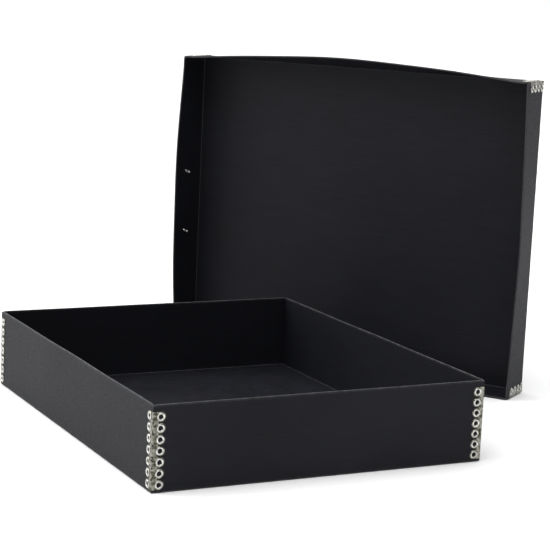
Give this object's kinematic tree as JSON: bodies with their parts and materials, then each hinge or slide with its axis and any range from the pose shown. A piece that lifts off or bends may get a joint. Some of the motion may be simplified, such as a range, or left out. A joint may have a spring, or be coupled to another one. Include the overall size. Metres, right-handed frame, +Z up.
{
  "type": "archival box",
  "caption": "Flat archival storage box of black board with metal corner stays; its lid, with a riveted label holder, stands beside the open tray.",
  "frame": {"origin": "centre of the tray's base, on the surface the box lies on", "axes": "+Z up out of the open tray, +Y along the tray's long walls, +X along its short walls, towards the lid"},
  "size_m": [0.5161, 0.5455, 0.3407],
  "materials": {
    "board": "matte",
    "stay": "satin",
    "holder": "satin",
    "rivet": "satin",
    "card": "matte"
  },
  "bodies": {
    "tray": {"tray_board": "board", "tray_stay_front_left": "stay", "tray_stay_front_right": "stay", "tray_stay_back_right": "stay", "tray_stay_back_left": "stay"},
    "lid": {"lid_board": "board", "lid_stay_lower_left": "stay", "lid_stay_lower_right": "stay", "lid_stay_upper_right": "stay", "lid_stay_upper_left": "stay", "label_holder": "holder", "split_rivet_lower": "rivet", "split_rivet_upper": "rivet"},
    "card": {"label_card": "card"}
  },
  "joints": [
    {"name": "lid_lift", "type": "slide", "parent": "tray", "child": "lid", "axis": [0, 0, 1], "range_m": [0, 0.12]},
    {"name": "card_slide", "type": "slide", "parent": "lid", "child": "card", "axis": [0.8881, 0.4596, 0], "range_m": [0, 0.034]}
  ]
}
